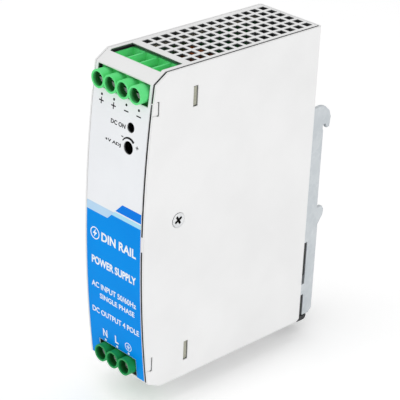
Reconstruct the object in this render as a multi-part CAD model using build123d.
"""DIN rail power supply: sheet-metal case, screw terminals, boards, and a sprung rail clip.

Millimetres. X is across the case, Y runs from the front to the rail, Z is up.
The pieces are laid out from the case's own corner: Y = 0 at the front folds, Z = 0 at the
case's underside, X = 0 in the middle. write() then moves them so that the origin is the
centre of the rail's front face.
"""
import os
from math import radians, tan

from build123d import *

os.makedirs("parts", exist_ok=True)

# ---------------------------------------------------------------- case
CASE_WIDTH = 32.0
CASE_HEIGHT = 125.2
CASE_DEPTH = 82.5            # front folds to the rear wall's outer face
FRONT_BULGE = 3.8            # how far the curved front stands out between its folds
SHEET = 0.7                  # steel sheet of both case pieces
WRAP_LEFT = -15.15           # the wrap sits close to the left wall
WRAP_RIGHT = 14.45           # and leaves a narrow dark gap beside the right wall
TOP_CHAMFER_Y = 5.5
TOP_CHAMFER_Z = 3.5
LOW_CHAMFER_Y = 6.1
LOW_CHAMFER_Z = 3.2
TOP_FOLD_ANGLE = 16          # share of a bend that the sheet's thickness takes, in degrees
LOW_FOLD_ANGLE = 14
FRONT_FOLD_SHARE = 0.6
REAR_BEND = 1.2              # outer radius of the two upright rear corners

# perforation of the top and the underside
VENT_PITCH = 4.52
VENT_SIDE = 3.2
VENT_ROWS = 14
VENT_COLUMNS = 6
VENT_FIRST_Y = 20.3

# openings, overlay, tabs and ears of the folded sheets
OUTPUT_CUTOUT = (-13.9, 13.1, 113.2, 121.2)      # x0, x1, z0, z1 in the front panel
INPUT_CUTOUT = (-10.1, 10.1, 3.9, 11.5)
TOP_WINDOW = (-13.5, 12.7, 4.7, 15.2)            # x0, x1, y0, y1 through top and chamfer
BOTTOM_WINDOW = (-10.1, 10.1, 5.2, 15.2)
TAB_MARGIN = 0.6
LABEL_THICK = 0.15
LABEL_SIDE = 0.1             # bare metal left beside the overlay
LABEL_END = 0.4              # and above and below it
TAB_SETBACK = 1.3                   # from a slit's ends forward to the front of the wrap's tab
UPPER_TAB = (0.6, 112.9, 5.4)       # Y of a slit's front ends, Z of its middle, its height
LOWER_TAB = (0.9, 11.2, 6.0)
LANCE_REACH = 0.8                   # from a slit's front ends back to its upright part
LANCE_SLIT = 0.35
TONGUE_STEP = 0.3                   # how far the tongue in front of a slit is pressed in
BOARD_SLOTS = ((109.5, 117.3), (6.7, 14.8))
SLOT_CLEARANCE = 0.3
EAR_LOW_Z = 59.0
EAR_STEP_Z = 65.0
EAR_HIGH_Z = 72.5
EAR_BACK_Y = 17.0
EAR_FRONT_Y = -3.7
BOSS_LENGTH = 2.4
SCREW_CONE = 1.6             # depth of a side screw's countersink
SCREW_LENGTH = 6.0

# ---------------------------------------------------------------- rail clip
RAIL_WIDTH = 35.0            # standard top-hat rail, over its two lips
RAIL_FACE_Y = 93.4           # the rail's front face
RAIL_Z = 63.5                # the rail's centre line above the case's underside
BRACKET_HALF_WIDTH = 11.0
BRACKET_SHEET = 1.5
HOOK_RISE = 7.6              # top of the web above the rail
FLANGE_WINDOWS = ((12.3, 31.2), (-4.0, 7.4))      # Z limits; the lower one is open below
WINDOW_Y = (85.2, 89.1)
LATCH_HALF_WIDTH = 9.3
LATCH_Y = (84.2, 89.0)
LATCH_TRAVEL = 3.5
LATCH_FOOT = -2.45           # just under the bracket's lower ends
LIP_HALF_WIDTH = 11.2
LIP_HEIGHT = 2.1
SPRING_Y = 86.15
SPRING_FOOT = 13.5           # top of the bracket's lug, where the spring stands
SPRING_TOP = 31.0            # roof of the latch's spring pocket
SPRING_RADIUS = 1.6
SPRING_WIRE = 0.25

# ---------------------------------------------------------------- terminals
POLE_PITCH = 6.5
COLLAR_FRONT_Y = -3.7
COLLAR_RADIUS = 3.42
COLLAR_BORE = 2.7
COLLAR_BORE_END = -1.2       # where the bore narrows to hold the screw's head
SCREW_HEAD = 2.15
HEAD_ROOM = 0.15             # radial room round a clamp screw's head
OUTPUT_POLES = 4
OUTPUT_X = -0.4
OUTPUT_Z = 117.1
INPUT_POLES = 3
INPUT_X = 0.0
INPUT_Z = 7.7
CLAMP_TRAVEL = 3.0
RUNNING_GAP = 0.05           # radial clearance of every turning fit
HOUSING_FRONT = 1.6
SEAT_Y = 1.0                 # the wall that a screw's head bears on
SEAT = 5.0
HEAD_HEIGHT = 1.95
CAVITY_BACK = 16.0
CAGE_HALF = 2.65             # half width of a clamp cage
CAGE_HEIGHT = 2.4            # half height of a clamp cage
CAGE_SIDE = 0.5              # thickness of its two sides
CAGE_FRONT = SEAT_Y + SEAT + 0.1 + CLAMP_TRAVEL
CAGE_BACK = CAVITY_BACK - 0.2
CONTACT_Y = (10.8, 11.6)
WIRE_Y = (10.7, 15.0)
WIRE_HALF = 2.3
ENTRY_HEIGHT = 6.4           # screw axis to the face that the wires enter

# ---------------------------------------------------------------- boards
BOARD = 1.6
TERMINAL_BOARD_Y = 18.0      # front face of the front board
MAIN_BOARD_X = -13.2         # solder face of the main board
MAIN_TOP_X = MAIN_BOARD_X + BOARD
CHOKE_Y = 36.0
CHOKE_Z = 25.0
HEATSINK_Y = 70.0
POWER_SCREW_X = MAIN_TOP_X + 16.8
TRANSISTOR_Z = 49.0
RECTIFIER_Z = 90.0
TRANSFORMER_Y = 38.0
TRANSFORMER_Z = 90.0

# ---------------------------------------------------------------- front panel holes
TRIMMER_X = 5.4
TRIMMER_Z = 95.9
TRIMMER_HOLE = 2.4
LED_X = 5.8
LED_Z = 103.5
LED_HOLE = 1.85
TRIMMER_BODY_Y = 11.0
ROTOR_RADIUS = 2.0

# ---------------------------------------------------------------- fasteners
M3 = 1.5                     # shank radius of every M3 screw
SIDE_SCREW_Y = 12.7
SIDE_SCREW_Z = 67.1
SIDE_SCREW_SINK = 3.1        # countersink radius at the wall's face
SIDE_SCREW_HEAD = 2.75       # the head's own radius, which leaves a groove round it
BRACKET_SCREW_Z = (56.0, 80.0)
STANDOFF_PLACES = ((24.5, 10.0), (75.5, 10.0), (24.5, 115.0), (75.5, 115.0))
STANDOFF_FLANGE = 2.3


# ---------------------------------------------------------------- helpers
def block(x0, x1, y0, y1, z0, z1):
    """A box given by its limits."""
    centre = ((x0 + x1) / 2, (y0 + y1) / 2, (z0 + z1) / 2)
    return Pos(*centre) * Box(x1 - x0, y1 - y0, z1 - z0)


def rod_x(x0, x1, y, z, radius):
    """A cylinder along X."""
    return Pos((x0 + x1) / 2, y, z) * Rot(0, 90, 0) * Cylinder(radius, x1 - x0)


def rod_y(y0, y1, x, z, radius):
    """A cylinder along Y."""
    return Pos(x, (y0 + y1) / 2, z) * Rot(90, 0, 0) * Cylinder(radius, y1 - y0)


def rod_z(z0, z1, x, y, radius):
    """A cylinder along Z."""
    return Pos(x, y, (z0 + z1) / 2) * Cylinder(radius, z1 - z0)


def cone_x(x_small, x_large, y, z, r_small, r_large):
    """A cone along X, between two radii."""
    corners = ((x_small, 0), (x_large, 0), (x_large, r_large), (x_small, r_small))
    profile = Polyline(*corners, close=True)
    return Pos(0, y, z) * revolve(make_face(profile), Axis.X, 360)


def slab_yz(points, x0, x1):
    """A plate: a closed outline in Y and Z, thickened from x0 to x1."""
    outline = Polyline(*[(x0, y, z) for y, z in points], close=True)
    return extrude(make_face(outline), amount=x1 - x0, dir=(1, 0, 0))


def write(node, *solids):
    """Save one sub-part, moved so that the rail's front face centre is the origin."""
    shape = Compound(children=[Pos(0, -RAIL_FACE_Y, -RAIL_Z) * s for s in solids])
    export_step(shape, f"parts/{node}.step")


def merge(solids):
    """Fuse a list of solids that touch or overlap."""
    whole = solids[0]
    for solid in solids[1:]:
        whole = whole + solid
    return whole


def cross_recess_x(x_face, depth, y, z, reach):
    """A cross-head driver recess cut into a face that looks along X."""
    arm = 0.52
    low, high = sorted((x_face, x_face - depth))
    tall = block(low, high, y - arm, y + arm, z - reach, z + reach)
    level = block(low, high, y - reach, y + reach, z - arm, z + arm)
    return Pos(0, y, z) * Rot(30, 0, 0) * Pos(0, -y, -z) * (tall + level)


# ---------------------------------------------------------------- case
def case_outline(inset):
    """The case seen from the side: chamfers, a curved front and a square back, moved in by inset."""
    top, low = CASE_HEIGHT - inset, inset
    low_back = (0, CASE_DEPTH, low)
    low_fold = (0, LOW_CHAMFER_Y + inset * tan(radians(LOW_FOLD_ANGLE)), low)
    front_low = (0, inset, LOW_CHAMFER_Z + inset * FRONT_FOLD_SHARE)
    front_mid = (0, inset - FRONT_BULGE, CASE_HEIGHT / 2)
    front_top = (0, inset, CASE_HEIGHT - TOP_CHAMFER_Z - inset * FRONT_FOLD_SHARE)
    top_fold = (0, TOP_CHAMFER_Y + inset * tan(radians(TOP_FOLD_ANGLE)), top)
    top_back = (0, CASE_DEPTH, top)
    return make_face([
        Line(low_back, low_fold),
        Line(low_fold, front_low),
        ThreePointArc(front_low, front_mid, front_top),
        Line(front_top, top_fold),
        Line(top_fold, top_back),
        Line(top_back, low_back),
    ])


def case_body(inset, x0, x1):
    """The solid inside the case's side outline, from x0 to x1."""
    return Pos(x0, 0, 0) * extrude(case_outline(inset), amount=x1 - x0, dir=(1, 0, 0))


def lance(side, y, z, height):
    """A thin U-shaped slit in a side wall, with the tongue that it frees pressed in a little."""
    face = side * CASE_WIDTH / 2
    x0, x1 = sorted((face - side * (SHEET + 0.1), face + side * 0.1))
    half = height / 2
    back = y + LANCE_REACH
    upright_slit = block(x0, x1, back, back + LANCE_SLIT, z - half, z + half)
    upper = block(x0, x1, y, back + LANCE_SLIT, z + half - LANCE_SLIT, z + half)
    lower = block(x0, x1, y, back + LANCE_SLIT, z - half, z - half + LANCE_SLIT)
    s0, s1 = sorted((face - side * TONGUE_STEP, face + side * 0.1))
    step = block(s0, s1, -FRONT_BULGE - 1, back, z - half + LANCE_SLIT, z + half - LANCE_SLIT)
    return merge([upright_slit, upper, lower, step])


def make_side_shell():
    """Left, rear and right walls: one sheet bent to a U, open at the front, top and bottom."""
    half = CASE_WIDTH / 2
    outer = case_body(0.0, -half, half)
    upright_rear = outer.edges().filter_by(Axis.Z).sort_by(Axis.Y)[-2:]
    outer = fillet(upright_rear, REAR_BEND)
    room = block(-half + SHEET, half - SHEET, -10, CASE_DEPTH - SHEET, -1, CASE_HEIGHT + 1)
    room = fillet(room.edges().filter_by(Axis.Z).sort_by(Axis.Y)[-2:], REAR_BEND - SHEET)
    shell = outer - room
    rear = CASE_DEPTH
    corner = [(rear - 2.1, -1), (rear + 1, -1), (rear + 1, 1.25), (rear, 1.25), (rear - 2.1, 0)]
    shell = shell - slab_yz(corner, -half - 1, half + 1)
    for side in (-1, 1):
        x0, x1 = sorted((side * (half - SHEET - 0.1), side * (half + 0.1)))
        for z0, z1 in BOARD_SLOTS:
            y0 = TERMINAL_BOARD_Y - SLOT_CLEARANCE
            y1 = TERMINAL_BOARD_Y + BOARD + SLOT_CLEARANCE
            shell = shell - block(x0, x1, y0, y1, z0, z1)
        for y, z, height in (UPPER_TAB, LOWER_TAB):
            shell = shell - lance(side, y, z, height)
        shell = shell - side_screw_sink(side)
    for z in BRACKET_SCREW_Z:
        shell = shell - rod_y(CASE_DEPTH - SHEET - 1, CASE_DEPTH + 1, 0, z, M3)
    for y, z in STANDOFF_PLACES:
        shell = shell - rod_x(-half - 1, -half + SHEET + 1, y, z, STANDOFF_FLANGE)
    return shell


def wrap_ear(side):
    """The ear bent back from the front panel's edge, which takes a side screw in a pressed boss."""
    outer = CASE_WIDTH / 2 - SHEET
    inner = outer - SHEET
    x0, x1 = sorted((side * inner, side * outer))
    ear = slab_yz(
        [
            (EAR_FRONT_Y, EAR_LOW_Z), (EAR_BACK_Y, EAR_LOW_Z), (EAR_BACK_Y, EAR_HIGH_Z),
            (7.5, EAR_HIGH_Z), (6.0, EAR_STEP_Z), (EAR_FRONT_Y, EAR_STEP_Z),
        ],
        x0, x1,
    )
    n0, n1 = sorted((side * (WRAP_RIGHT - 1.0), side * outer))
    neck = block(n0, n1, EAR_FRONT_Y, EAR_FRONT_Y + SHEET - 0.1, EAR_LOW_Z, EAR_STEP_Z)
    b0, b1 = sorted((side * (inner - BOSS_LENGTH), side * inner))
    boss = rod_x(b0, b1, SIDE_SCREW_Y, SIDE_SCREW_Z, 2 * M3)
    return ear + neck + boss - side_screw_sink(side)


def side_screw_sink(side):
    """The countersink and hole that a side screw goes into."""
    face = side * CASE_WIDTH / 2
    root = face - side * SCREW_CONE
    cone = cone_x(root, face, SIDE_SCREW_Y, SIDE_SCREW_Z, M3, SIDE_SCREW_SINK)
    x0, x1 = sorted((face - side * SCREW_LENGTH, root))
    return cone + rod_x(x0, x1, SIDE_SCREW_Y, SIDE_SCREW_Z, M3)


def make_side_screws():
    """One countersunk screw through each side wall into the front wrap's ears."""
    screws = []
    for side in (-1, 1):
        face = side * CASE_WIDTH / 2
        x0, x1 = sorted((face, face - side * (SCREW_LENGTH + 1)))
        rim = rod_x(x0, x1, SIDE_SCREW_Y, SIDE_SCREW_Z, SIDE_SCREW_HEAD)
        recess = cross_recess_x(face, side * 1.2, SIDE_SCREW_Y, SIDE_SCREW_Z, 1.8)
        screws.append((side_screw_sink(side) & rim) - recess)
    return screws


def vents(z0, z1):
    """The square holes of one perforated wall, cut from z0 to z1."""
    h = VENT_SIDE / 2
    holes = []
    for row in range(VENT_ROWS):
        for column in range(VENT_COLUMNS):
            x = (column - (VENT_COLUMNS - 1) / 2) * VENT_PITCH
            y = VENT_FIRST_Y + row * VENT_PITCH
            holes.append(block(x - h, x + h, y - h, y + h, z0, z1))
    return holes


def make_front_wrap():
    """Perforated bottom, curved front and perforated top: one sheet bent round, with two screw ears."""
    left, right = WRAP_LEFT, WRAP_RIGHT
    outer = case_body(0.0, left, right)
    rear_limit = block(left - 1, right + 1, CASE_DEPTH - SHEET - 0.2, CASE_DEPTH + 1, -1, CASE_HEIGHT + 1)
    wrap = outer - case_body(SHEET, left - 1, right + 1) - rear_limit
    x0, x1, z0, z1 = OUTPUT_CUTOUT
    wrap = wrap - block(x0, x1, -10, 3, z0, z1)
    x0, x1, z0, z1 = INPUT_CUTOUT
    wrap = wrap - block(x0, x1, -10, 3, z0, z1)
    x0, x1, y0, y1 = TOP_WINDOW
    wrap = wrap - block(x0, x1, y0, y1, CASE_HEIGHT - 3, CASE_HEIGHT + 1)
    x0, x1, y0, y1 = BOTTOM_WINDOW
    wrap = wrap - block(x0, x1, y0, y1, -1, 3)
    wrap = wrap - vents(CASE_HEIGHT - 2, CASE_HEIGHT + 1) - vents(-1, 2)
    wrap = wrap - rod_y(-10, 5, TRIMMER_X, TRIMMER_Z, TRIMMER_HOLE)
    wrap = wrap - rod_y(-10, 5, LED_X, LED_Z, LED_HOLE)
    for side in (-1, 1):
        wrap = wrap + wrap_ear(side)
        x0, x1 = sorted((side * (WRAP_RIGHT - 0.3), side * (CASE_WIDTH / 2 - SHEET)))
        for y, z, height in (UPPER_TAB, LOWER_TAB):
            front = y - TAB_SETBACK
            reach = height / 2 - TAB_MARGIN
            wrap = wrap + block(x0, x1, front, front + SHEET, z - reach, z + reach)
    return wrap


def make_front_label():
    """Printed overlay on the curved front, with the panel's openings cut through it."""
    left, right = WRAP_LEFT + LABEL_SIDE, WRAP_RIGHT - LABEL_SIDE
    skin = case_body(-LABEL_THICK, left, right) - case_body(0.0, left - 1, right + 1)
    low, high = LOW_CHAMFER_Z + LABEL_END, CASE_HEIGHT - TOP_CHAMFER_Z - LABEL_END
    label = skin & block(left, right, -10, 1.5, low, high)
    x0, x1, z0, z1 = OUTPUT_CUTOUT
    label = label - block(x0 - 0.2, x1 + 0.2, -10, 3, z0 - 0.2, z1 + 2)
    x0, x1, z0, z1 = INPUT_CUTOUT
    label = label - block(x0 - 0.2, x1 + 0.2, -10, 3, z0 - 2, z1 + 0.2)
    label = label - rod_y(-10, 5, TRIMMER_X, TRIMMER_Z, TRIMMER_HOLE)
    label = label - rod_y(-10, 5, LED_X, LED_Z, LED_HOLE)
    return label


# ---------------------------------------------------------------- rail clip
def make_rail_bracket():
    """Steel channel on the back: two top hooks, two lower lips, and windows that guide the latch."""
    rail_top = RAIL_Z + RAIL_WIDTH / 2
    rail_low = RAIL_Z - RAIL_WIDTH / 2
    face = RAIL_FACE_Y
    back = CASE_DEPTH
    outline = [
        (back, -1.0), (89.6, -2.3), (92.7, -2.3), (94.4, -0.6), (94.4, 37.6), (96.9, 41.2),
        (97.2, 43.6), (96.2, rail_low - 0.8), (face, rail_low - 0.8),
        (face, rail_top - 2.2), (face - 0.4, rail_top - 1.8), (face - 0.4, rail_top - 0.1),
        (face, rail_top + 0.2), (face + 1.1, rail_top + 0.2),
        (face + 1.9, rail_top - 1.7), (96.7, rail_top - 1.5), (97.2, rail_top + 2.6),
        (96.2, rail_top + 5.4), (93.4, rail_top + 7.9), (91.6, rail_top + 8.3),
        (back, rail_top + HOOK_RISE),
    ]
    web_front, web_back = back, back + BRACKET_SHEET
    half = BRACKET_HALF_WIDTH
    bracket = block(-half, half, web_front, web_back, -1.0, rail_top + HOOK_RISE)
    for side in (-1, 1):
        x0, x1 = sorted((side * (half - BRACKET_SHEET), side * half))
        flange = slab_yz(outline, x0, x1)
        for z0, z1 in FLANGE_WINDOWS:
            flange = flange - block(x0 - 1, x1 + 1, WINDOW_Y[0], WINDOW_Y[1], z0, z1)
        bracket = bracket + flange
    bracket = bracket + block(-3.0, 3.0, web_back - 0.2, SPRING_Y + 1.8, SPRING_FOOT - 1.5, SPRING_FOOT)
    for z in BRACKET_SCREW_Z:
        bracket = bracket - rod_y(back - 1, back + 3, 0, z, M3)
    return bracket


def make_bracket_screws():
    """Two pan-head screws through the bracket and the rear wall."""
    screws = []
    head_y = CASE_DEPTH + BRACKET_SHEET
    for z in BRACKET_SCREW_Z:
        head = rod_y(head_y, head_y + 1.9, 0, z, 2.8)
        head = fillet(head.edges().filter_by(GeomType.CIRCLE).sort_by(Axis.Y)[-1:], 0.9)
        slots = block(-1.6, 1.6, head_y + 1.0, head_y + 3, z - 0.4, z + 0.4)
        slots = slots + block(-0.4, 0.4, head_y + 1.0, head_y + 3, z - 1.6, z + 1.6)
        screws.append(head - slots + rod_y(CASE_DEPTH - SHEET - 3.0, head_y, 0, z, M3))
    return screws


def make_bracket_nuts():
    """Hexagon nuts on the bracket screws, inside the rear wall."""
    inner = CASE_DEPTH - SHEET
    nuts = []
    for z in BRACKET_SCREW_Z:
        hexagon = extrude(Plane.XZ * RegularPolygon(3.18, 6), amount=2.4)
        nuts.append(Pos(0, inner, z) * hexagon - rod_y(inner - 3, inner + 1, 0, z, M3))
    return nuts


def make_rail_latch():
    """Black sprung slider: guide ribs, spring pocket, a nose for the rail, a lip and a pull tab."""
    w = LATCH_HALF_WIDTH
    y0, y1 = LATCH_Y
    latch = block(-w, w, y0, y1, LATCH_FOOT, 40.0)
    rib_front, rib_back = WINDOW_Y[0] + 0.3, WINDOW_Y[1] - 0.2
    (upper_low, upper_high), (_, lower_high) = FLANGE_WINDOWS
    for side in (-1, 1):
        x0, x1 = sorted((side * (w - 0.1), side * (BRACKET_HALF_WIDTH - 0.3)))
        upper = block(x0, x1, rib_front, rib_back, upper_low + LATCH_TRAVEL + 0.4, upper_high - 0.2)
        lower = block(x0, x1, rib_front, rib_back, LATCH_FOOT, lower_high - 0.2)
        latch = latch + upper + lower
    pocket = block(-3.3, 3.3, y0 - 1, SPRING_Y + 2.0, SPRING_FOOT - 2.1, SPRING_TOP)
    sight_slot = block(-1.5, 1.5, y0, y1 + 1, SPRING_FOOT + 4.5, SPRING_TOP - 2.0)
    latch = latch - pocket - sight_slot
    rail_low = RAIL_Z - RAIL_WIDTH / 2
    foot = block(-6.5, 6.5, y1 - 0.1, 97.0, 38.6, rail_low - 1.3)
    nose = slab_yz(
        [(94.7, 44.0), (97.0, 44.0), (97.0, 45.4), (95.8, rail_low + 2.6), (94.7, rail_low + 2.6)],
        -6.5, 6.5,
    )
    latch = latch + foot + nose
    for x in (-6.5, -0.75, 5.0):
        gusset = [(y1 - 0.1, 30.5), (y1 + 0.9, 30.5), (96.2, 38.7), (y1 - 0.1, 38.7)]
        latch = latch + slab_yz(gusset, x, x + 1.5)
    tab = block(-8.3, 8.3, y0 + 0.5, y1 + 0.3, -5.8, LATCH_FOOT + 0.1)
    tab = fillet(tab.edges().filter_by(Axis.Y).sort_by(Axis.Z)[:2], 2.4)
    lip = block(-LIP_HALF_WIDTH, LIP_HALF_WIDTH, y0 + 0.7, y1 + 2.3, LATCH_FOOT - LIP_HEIGHT, LATCH_FOOT)
    lip = fillet(lip.edges().filter_by(Axis.X).sort_by(Axis.Z)[:2], 1.7)
    cord_hole = block(-2.6, 2.6, y0 - 1, y1 + 3, -4.7, -3.1)
    return latch + tab + lip - cord_hole


def make_latch_spring():
    """Compression spring between the bracket's lug and the latch."""
    start = SPRING_FOOT + SPRING_WIRE + 0.05
    height = SPRING_TOP - SPRING_FOOT - 2 * SPRING_WIRE - 0.1
    path = Pos(0, SPRING_Y, start) * Helix(height / 8, height, SPRING_RADIUS)
    section = Plane(origin=path @ 0, z_dir=path % 0) * Circle(SPRING_WIRE)
    return sweep(section, path=path, is_frenet=True)


# ---------------------------------------------------------------- terminals
def pole_places(poles, x_mid):
    """X of each pole of a terminal block."""
    return [x_mid + (i - (poles - 1) / 2) * POLE_PITCH for i in range(poles)]


def upright(x0, x1, y0, y1, axis_z, up, low, high):
    """A box whose heights are counted from the screw axis towards the wire entry."""
    z0, z1 = sorted((axis_z + up * low, axis_z + up * high))
    return block(x0, x1, y0, y1, z0, z1)


def wire_funnel(x, axis_z, up):
    """The tapered mouth that leads a wire down into its clamp."""
    mouth = Pos(x, 11.3, axis_z + up * (ENTRY_HEIGHT + 0.01)) * Rectangle(5.7, 8.6)
    throat_y = (WIRE_Y[0] + WIRE_Y[1]) / 2
    throat = Pos(x, throat_y, axis_z + up * 4.0) * Rectangle(2 * WIRE_HALF, WIRE_Y[1] - WIRE_Y[0])
    taper = loft([mouth, throat])
    neck = upright(x - WIRE_HALF, x + WIRE_HALF, WIRE_Y[0], WIRE_Y[1], axis_z, up, 2.5, 4.2)
    return taper + neck


def make_terminal_housing(poles, x_mid, axis_z, up):
    """Moulded block: screw collars at the front, wire mouths towards the nearer end of the case."""
    half = poles * POLE_PITCH / 2 + 0.25
    profile = [
        (HOUSING_FRONT, axis_z - up * 7.0), (TERMINAL_BOARD_Y, axis_z - up * 7.0),
        (TERMINAL_BOARD_Y, axis_z + up * ENTRY_HEIGHT), (6.4, axis_z + up * ENTRY_HEIGHT),
        (HOUSING_FRONT, axis_z + up * 4.0),
    ]
    housing = slab_yz(profile, x_mid - half, x_mid + half)
    places = pole_places(poles, x_mid)
    for x in places:
        housing = housing + rod_y(COLLAR_FRONT_Y, HOUSING_FRONT + 0.5, x, axis_z, COLLAR_RADIUS)
    for x in places:
        housing = housing - rod_y(COLLAR_FRONT_Y - 1, COLLAR_BORE_END, x, axis_z, COLLAR_BORE)
        housing = housing - rod_y(COLLAR_BORE_END - 1, SEAT_Y, x, axis_z, SCREW_HEAD + HEAD_ROOM)
        housing = housing - rod_y(SEAT_Y - 1, SEAT_Y + SEAT + 1, x, axis_z, M3 + RUNNING_GAP)
        cavity = upright(
            x - CAGE_HALF - 0.1, x + CAGE_HALF + 0.1, SEAT_Y + SEAT, CAVITY_BACK, axis_z, up, -3.2, 3.0,
        )
        tail = upright(x - 1.2, x + 1.2, CONTACT_Y[0], TERMINAL_BOARD_Y + 1, axis_z, up, -4.0, -3.0)
        housing = housing - cavity - tail - wire_funnel(x, axis_z, up)
    return housing


def make_contacts(poles, x_mid, axis_z, up):
    """A contact bar through each clamp, with a tail through the front board."""
    contacts = []
    for x in pole_places(poles, x_mid):
        bar = upright(x - 2.0, x + 2.0, CONTACT_Y[0], CONTACT_Y[1], axis_z, up, -4.0, 2.6)
        tail = upright(x - 1.2, x + 1.2, CONTACT_Y[0], TERMINAL_BOARD_Y + BOARD + 2.0, axis_z, up, -4.0, -3.2)
        bar = bar - upright(x - 3, x - 1.2, 10, 12, axis_z, up, -4.1, -3.2)
        bar = bar - upright(x + 1.2, x + 3, 10, 12, axis_z, up, -4.1, -3.2)
        contacts.append(bar + tail)
    return contacts


def make_terminal_screw(x, axis_z):
    """Clamp screw: a slotted and crossed head low in its collar, turning against the seat."""
    head = rod_y(SEAT_Y - RUNNING_GAP - HEAD_HEIGHT, SEAT_Y - RUNNING_GAP, x, axis_z, SCREW_HEAD)
    slot = block(x - 3, x + 3, SEAT_Y - 3, SEAT_Y - 1.0, axis_z - 0.35, axis_z + 0.35)
    cross = block(x - 0.35, x + 0.35, SEAT_Y - 3, SEAT_Y - 1.0, axis_z - 1.4, axis_z + 1.4)
    shank = rod_y(SEAT_Y - 0.1, CONTACT_Y[0] - 0.2, x, axis_z, M3)
    return head - slot - cross + shank


def make_clamp(x, axis_z):
    """Rising cage: a threaded front wall, two sides and a back wall, open where the wire passes."""
    low, high = axis_z - CAGE_HEIGHT, axis_z + CAGE_HEIGHT
    cage = block(x - CAGE_HALF, x + CAGE_HALF, CAGE_FRONT, CAGE_BACK, low, high)
    inside = CAGE_HALF - CAGE_SIDE
    room = block(x - inside, x + inside, CAGE_FRONT + 1.0, CAGE_BACK - 0.9, low - 1, high + 1)
    return cage - room - rod_y(CAGE_FRONT - 1, CAGE_FRONT + 2, x, axis_z, M3 + RUNNING_GAP)


# ---------------------------------------------------------------- front board
def make_terminal_board():
    """Front board: carries both terminal blocks, and its tabs locate in the side slots."""
    y0, y1 = TERMINAL_BOARD_Y, TERMINAL_BOARD_Y + BOARD
    board = block(-15.0, 15.0, y0, y1, 2.0, 123.0)
    for z0, z1 in BOARD_SLOTS:
        board = board + block(-15.6, 15.6, y0, y1, z0 + 0.4, z1 - 0.4)
    sides = ((OUTPUT_POLES, OUTPUT_X, OUTPUT_Z, 1), (INPUT_POLES, INPUT_X, INPUT_Z, -1))
    for poles, x_mid, axis_z, up in sides:
        for x in pole_places(poles, x_mid):
            board = board - upright(x - 1.2, x + 1.2, y0 - 1, y1 + 1, axis_z, up, -4.0, -3.2)
    return board


def make_board_link_pins():
    """Square pins that join the front board to the main board."""
    pins = []
    back = TERMINAL_BOARD_Y + BOARD
    for z in (40.0, 45.0, 50.0, 75.0, 80.0, 85.0, 90.0, 95.0):
        level = block(MAIN_TOP_X + 0.7, MAIN_TOP_X + 1.3, back, back + 4.4, z, z + 0.6)
        foot = block(MAIN_TOP_X, MAIN_TOP_X + 0.8, back + 3.8, back + 4.4, z, z + 0.6)
        pins.append(level + foot)
    return pins


def make_trimmer_body():
    """Square trimmer housing on the front board, with a round well for its rotor."""
    half, x, z = 4.75, TRIMMER_X, TRIMMER_Z
    body = block(x - half, x + half, TRIMMER_BODY_Y, TERMINAL_BOARD_Y, z - half, z + half)
    well = rod_y(TRIMMER_BODY_Y - 1, TRIMMER_BODY_Y + 2.1, x, z, ROTOR_RADIUS + RUNNING_GAP)
    return body - well


def make_trimmer_rotor():
    """The part that a screwdriver turns, behind the hole in the front panel."""
    front, x, z = TRIMMER_BODY_Y - 1.4, TRIMMER_X, TRIMMER_Z
    rotor = rod_y(front, TRIMMER_BODY_Y + 2.0, x, z, ROTOR_RADIUS)
    level = block(x - 1.5, x + 1.5, front - 1, front + 0.9, z - 0.3, z + 0.3)
    tall = block(x - 0.3, x + 0.3, front - 1, front + 0.9, z - 1.5, z + 1.5)
    return rotor - level - tall


def make_status_led():
    """Round indicator lamp on long legs, just behind its hole."""
    lens = rod_y(3.2, 6.6, LED_X, LED_Z, 1.45)
    dome = Pos(LED_X, 3.2, LED_Z) * Sphere(1.45)
    flange = rod_y(6.5, 7.5, LED_X, LED_Z, 1.9)
    lamp = lens + dome + flange
    for x in (LED_X - 1.27, LED_X + 1.27):
        lamp = lamp + block(x - 0.25, x + 0.25, 7.4, TERMINAL_BOARD_Y, LED_Z - 0.25, LED_Z + 0.25)
    return lamp


# ---------------------------------------------------------------- main board
def make_main_board():
    """Main board, parallel to the left wall, on four standoffs."""
    board = block(MAIN_BOARD_X, MAIN_TOP_X, 20.4, 79.0, 4.0, 121.0)
    for y, z in STANDOFF_PLACES:
        board = board - rod_x(MAIN_BOARD_X - 1, MAIN_TOP_X + 1, y, z, M3)
    return board


def make_board_standoffs():
    """Threaded standoffs pressed flush into the left wall."""
    standoffs = []
    for y, z in STANDOFF_PLACES:
        body = rod_x(-CASE_WIDTH / 2, MAIN_BOARD_X, y, z, STANDOFF_FLANGE)
        standoffs.append(body - rod_x(-CASE_WIDTH / 2 + 1.0, MAIN_BOARD_X + 1, y, z, M3))
    return standoffs


def make_board_screws():
    """Pan-head screws that hold the main board to its standoffs."""
    screws = []
    for y, z in STANDOFF_PLACES:
        head = rod_x(MAIN_TOP_X, MAIN_TOP_X + 1.8, y, z, 2.7)
        screws.append(head + rod_x(-CASE_WIDTH / 2 + 1.2, MAIN_TOP_X, y, z, M3))
    return screws


def make_insulation_sheet():
    """Thin insulating sheet between the board's solder side and the left wall."""
    wall = -CASE_WIDTH / 2 + SHEET
    sheet = block(wall, wall + 0.3, 20.6, 79.4, 3.0, 122.0)
    for y, z in STANDOFF_PLACES:
        sheet = sheet - rod_x(wall - 1, wall + 1, y, z, STANDOFF_FLANGE)
    return sheet


def on_board(height, y0, y1, z0, z1, lift=0.0):
    """A box that stands on the main board."""
    return block(MAIN_TOP_X + lift, MAIN_TOP_X + lift + height, y0, y1, z0, z1)


def leg(y, z, length):
    """A component leg that stands on the main board."""
    return rod_x(MAIN_TOP_X, MAIN_TOP_X + length, y, z, 0.4)


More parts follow.
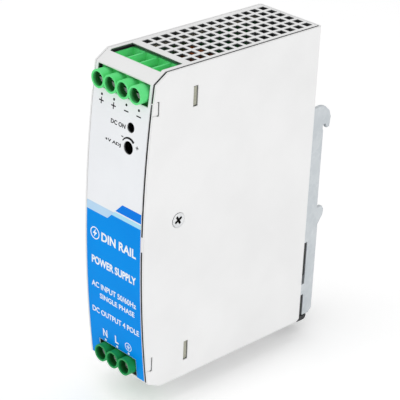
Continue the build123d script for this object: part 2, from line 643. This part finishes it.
def disc_part(y, z, radius, thickness):
    """A radial disc component on two legs, its flat faces looking along Z."""
    lift = 1.2
    disc = rod_z(z - thickness / 2, z + thickness / 2, MAIN_TOP_X + lift + radius, y, radius)
    spread = radius * 0.5
    return disc + leg(y - spread, z, lift + radius * 0.6) + leg(y + spread, z, lift + radius * 0.6)


def can_part(y, z, radius, height):
    """A radial electrolytic capacitor standing on the main board, crimped near its foot."""
    can = rod_x(MAIN_TOP_X, MAIN_TOP_X + height, y, z, radius)
    groove = rod_x(MAIN_TOP_X + 1.4, MAIN_TOP_X + 2.0, y, z, radius + 1)
    groove = groove - rod_x(MAIN_TOP_X + 1.3, MAIN_TOP_X + 2.1, y, z, radius - 0.3)
    return can - groove


def make_fuse():
    """Radial fuse in a rectangular case."""
    return on_board(8.0, 30.0, 38.5, 6.0, 10.0)


def make_choke_core():
    """Ring core of the mains filter choke."""
    core = rod_x(MAIN_TOP_X + 1.0, MAIN_TOP_X + 9.0, CHOKE_Y, CHOKE_Z, 9.5)
    return core - rod_x(MAIN_TOP_X, MAIN_TOP_X + 10.0, CHOKE_Y, CHOKE_Z, 5.2)


def make_choke_windings():
    """Two windings, one on each half of the ring core."""
    ring = rod_x(MAIN_TOP_X, MAIN_TOP_X + 10.0, CHOKE_Y, CHOKE_Z, 10.6)
    ring = ring - rod_x(MAIN_TOP_X - 1, MAIN_TOP_X + 11.0, CHOKE_Y, CHOKE_Z, 4.0)
    ring = ring - make_choke_core()
    gap = block(MAIN_TOP_X - 1, MAIN_TOP_X + 11.0, CHOKE_Y - 12, CHOKE_Y + 12, CHOKE_Z - 2.2, CHOKE_Z + 2.2)
    return (ring - gap).solids()


def make_bulk_capacitor():
    """Large mains capacitor, lying along the board."""
    radius = 9.0
    x = MAIN_TOP_X + radius + 0.2
    can = rod_z(42.0, 74.0, x, 34.0, radius)
    groove = rod_z(44.0, 44.8, x, 34.0, radius + 1) - rod_z(43.9, 44.9, x, 34.0, radius - 0.5)
    return can - groove


def make_heatsink(z0, z1, part_z):
    """Aluminium plate on edge, tapped for the part that is screwed to it."""
    plate = on_board(24.0, HEATSINK_Y, HEATSINK_Y + 2.0, z0, z1)
    foot = on_board(2.0, HEATSINK_Y + 2.0, HEATSINK_Y + 6.0, z0 + 2.0, z1 - 2.0)
    return plate + foot - rod_y(HEATSINK_Y - 1, HEATSINK_Y + 3, POWER_SCREW_X, part_z, M3)


def make_power_part(part_z):
    """Three-leg power device with a metal tab, screwed to its heatsink."""
    tab = on_board(15.5, HEATSINK_Y - 1.3, HEATSINK_Y, part_z - 5, part_z + 5, lift=4.1)
    tab = tab - rod_y(HEATSINK_Y - 3, HEATSINK_Y + 1, POWER_SCREW_X, part_z, M3)
    body = on_board(9.0, HEATSINK_Y - 4.4, HEATSINK_Y - 1.3, part_z - 5, part_z + 5, lift=4.1)
    part = tab + body
    for dz in (-2.54, 0, 2.54):
        part = part + on_board(4.6, HEATSINK_Y - 2.6, HEATSINK_Y - 2.0, part_z + dz - 0.4, part_z + dz + 0.4)
    return part


def make_heatsink_screws():
    """Screws that clamp the two power devices to their heatsinks."""
    screws = []
    for z in (TRANSISTOR_Z, RECTIFIER_Z):
        head = rod_y(HEATSINK_Y - 3.3, HEATSINK_Y - 1.3, POWER_SCREW_X, z, 2.7)
        screws.append(head + rod_y(HEATSINK_Y - 1.3, HEATSINK_Y + 4.0, POWER_SCREW_X, z, M3))
    return screws


def transformer_block(x0, x1, half_y, half_z):
    """A box about the transformer's middle, with X counted from the board."""
    return block(
        MAIN_TOP_X + x0, MAIN_TOP_X + x1, TRANSFORMER_Y - half_y, TRANSFORMER_Y + half_y,
        TRANSFORMER_Z - half_z, TRANSFORMER_Z + half_z,
    )


def make_transformer_core():
    """Ferrite core with two windows and a centre leg."""
    windows = transformer_block(7.0, 20.0, 7.0, 9.0) - transformer_block(6.0, 21.0, 8.0, 3.0)
    return transformer_block(3.0, 24.0, 6.0, 13.0) - windows


def make_transformer_bobbin():
    """Moulded bobbin: a tube on the centre leg, two flanges and a foot on the board."""
    tube = transformer_block(7.0, 20.0, 7.0, 4.0)
    flanges = transformer_block(7.0, 7.8, 10.5, 8.9) + transformer_block(19.2, 20.0, 10.5, 8.9)
    bobbin = tube + flanges - transformer_block(6.0, 21.0, 6.0, 3.0)
    foot = transformer_block(0.0, 3.0, 10.5, 11.0)
    posts = transformer_block(2.9, 7.1, 10.5, 8.9) - transformer_block(2.0, 8.0, 6.2, 14.0)
    return bobbin + foot + posts


def make_transformer_windings():
    """Taped windings round the bobbin."""
    coil = transformer_block(7.8, 19.2, 10.0, 8.6)
    coil = fillet(coil.edges().filter_by(Axis.X), 2.5)
    return coil - transformer_block(7.0, 20.0, 7.0, 4.0)


def make_bridge_rectifier():
    """Flat bridge rectifier standing on four legs."""
    part = on_board(12.0, 48.0, 63.0, 33.0, 36.6, lift=3.0)
    for y in (50.0, 53.7, 57.4, 61.0):
        part = part + leg(y, 34.8, 3.4)
    return part


def make_output_choke():
    """Wound ring choke of the output filter."""
    ring = rod_x(MAIN_TOP_X, MAIN_TOP_X + 8.0, 42.0, 112.0, 6.4)
    return ring - rod_x(MAIN_TOP_X - 1, MAIN_TOP_X + 9.0, 42.0, 112.0, 2.2)


# ---------------------------------------------------------------- write every sub-part
write("side_shell", make_side_shell())
write("front_wrap", make_front_wrap())
write("front_label", make_front_label())
write("side_screws", *make_side_screws())
write("rail_bracket", make_rail_bracket())
write("bracket_screws", *make_bracket_screws())
write("bracket_nuts", *make_bracket_nuts())
write("rail_latch", make_rail_latch())
write("latch_spring", make_latch_spring())

for name, poles, x_mid, axis_z, up in (
    ("output", OUTPUT_POLES, OUTPUT_X, OUTPUT_Z, 1),
    ("input", INPUT_POLES, INPUT_X, INPUT_Z, -1),
):
    write(f"{name}_terminal_housing", make_terminal_housing(poles, x_mid, axis_z, up))
    write(f"{name}_contacts", *make_contacts(poles, x_mid, axis_z, up))
    for number, x in enumerate(pole_places(poles, x_mid), start=1):
        write(f"{name}_screw_{number}", make_terminal_screw(x, axis_z))
        write(f"{name}_clamp_{number}", make_clamp(x, axis_z))

write("terminal_board", make_terminal_board())
write("board_link_pins", *make_board_link_pins())
write("trimmer_body", make_trimmer_body())
write("trimmer_rotor", make_trimmer_rotor())
write("status_led", make_status_led())
write("main_board", make_main_board())
write("board_standoffs", *make_board_standoffs())
write("board_screws", *make_board_screws())
write("insulation_sheet", make_insulation_sheet())

write("fuse", make_fuse())
write("thermistor", disc_part(48.0, 8.5, 5.0, 4.0))
write("varistor", disc_part(61.0, 8.5, 5.0, 4.0))
write("choke_core", make_choke_core())
write("choke_windings", *make_choke_windings())
write("x_capacitor", on_board(14.0, 50.0, 68.0, 16.0, 24.0))
write("y_capacitors", disc_part(56.0, 28.5, 3.8, 3.0), disc_part(66.0, 28.5, 3.8, 3.0))
write("bridge_rectifier", make_bridge_rectifier())
write("bulk_capacitor", make_bulk_capacitor())
write("primary_heatsink", make_heatsink(32.0, 66.0, TRANSISTOR_Z))
write("power_transistor", make_power_part(TRANSISTOR_Z))
write("transformer_core", make_transformer_core())
write("transformer_bobbin", make_transformer_bobbin())
write("transformer_windings", make_transformer_windings())
write("secondary_heatsink", make_heatsink(74.0, 106.0, RECTIFIER_Z))
write("output_rectifier", make_power_part(RECTIFIER_Z))
write("heatsink_screws", *make_heatsink_screws())
write("output_capacitors", *[can_part(57.0, z, 5.0, 20.0) for z in (76.0, 88.0, 100.0)])
write("output_choke", make_output_choke())
write("optocoupler", on_board(3.5, 52.0, 58.5, 62.0, 66.6))
write("controller_chip", on_board(1.7, 52.0, 57.0, 52.0, 56.0))
